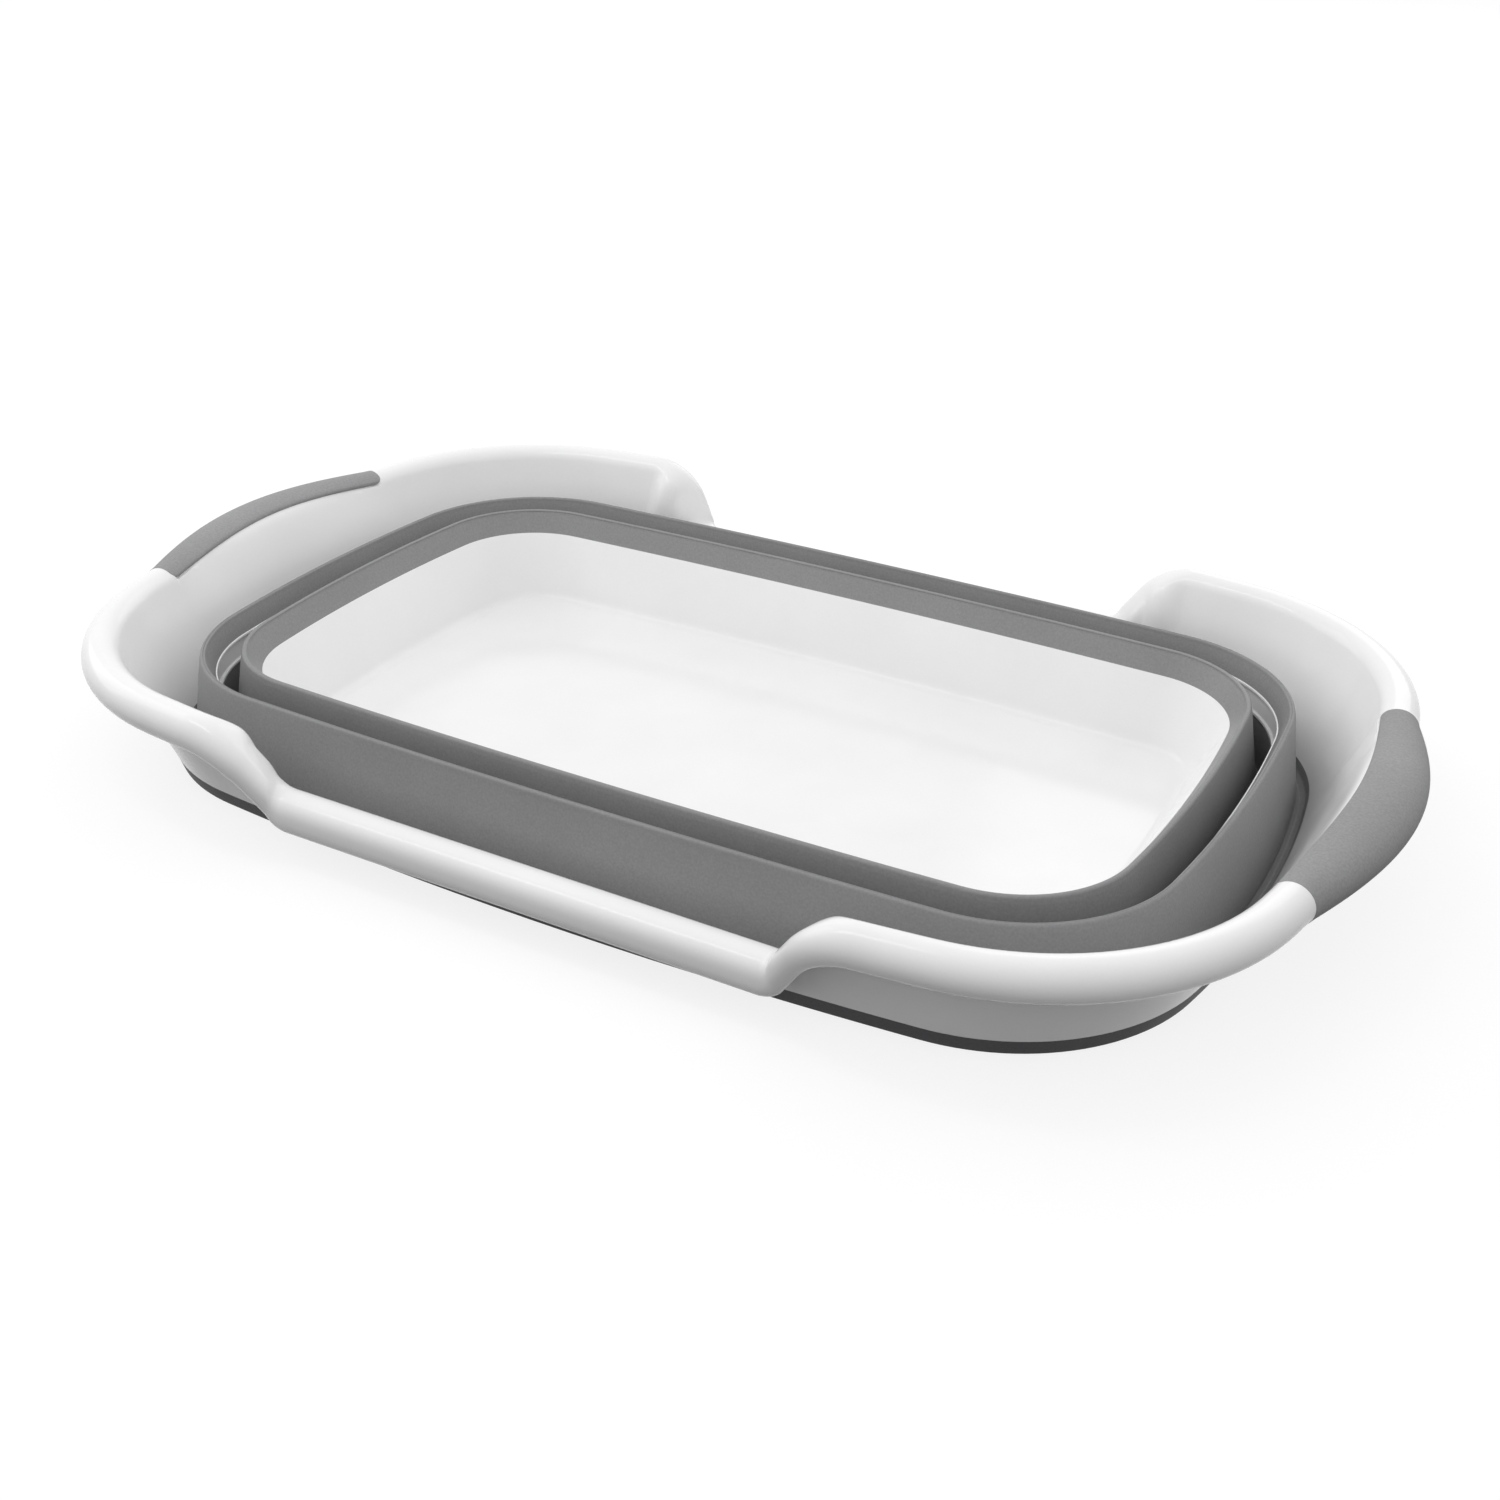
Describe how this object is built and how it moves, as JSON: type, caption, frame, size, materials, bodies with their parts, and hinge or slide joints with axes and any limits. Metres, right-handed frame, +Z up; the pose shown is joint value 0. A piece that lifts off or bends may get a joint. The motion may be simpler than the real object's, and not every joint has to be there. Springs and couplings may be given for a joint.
{
  "type": "collapsible baby bath",
  "caption": "Oval folding bath: rigid tray, middle ring and winged rim frame joined by two soft bellows, with a soft grip at each end.",
  "frame": {"origin": "middle of the footprint, on the floor, with the bath folded flat", "axes": "+Z up, +X along the length towards one grip, -Y towards the near long side"},
  "size_m": [0.6516, 0.4062, 0.07],
  "materials": {
    "white_plastic": "white moulded polypropylene, glossy",
    "grey_elastomer": "mid grey thermoplastic elastomer, satin",
    "foot_elastomer": "dark grey thermoplastic elastomer, satin",
    "grip_elastomer": "mid grey soft-touch elastomer, matt"
  },
  "bodies": {
    "base": {"tray": "white_plastic", "inner_crest_collar": "grey_elastomer"},
    "middle": {"inner_web": "grey_elastomer", "inner_foot_collar": "grey_elastomer", "middle_ring": "white_plastic", "outer_crest_collar": "grey_elastomer"},
    "rim": {"outer_web": "grey_elastomer", "outer_foot_collar": "foot_elastomer", "rim_frame": "white_plastic", "grip_left": "grip_elastomer", "grip_right": "grip_elastomer"}
  },
  "joints": [
    {"name": "lower_tier_slide", "type": "slide", "parent": "base", "child": "middle", "axis": [0, 0, 1], "range_m": [0, 0.082], "deforming": ["inner_web"]},
    {"name": "upper_tier_slide", "type": "slide", "parent": "middle", "child": "rim", "axis": [0, 0, 1], "range_m": [0, 0.082], "deforming": ["outer_web"]}
  ]
}
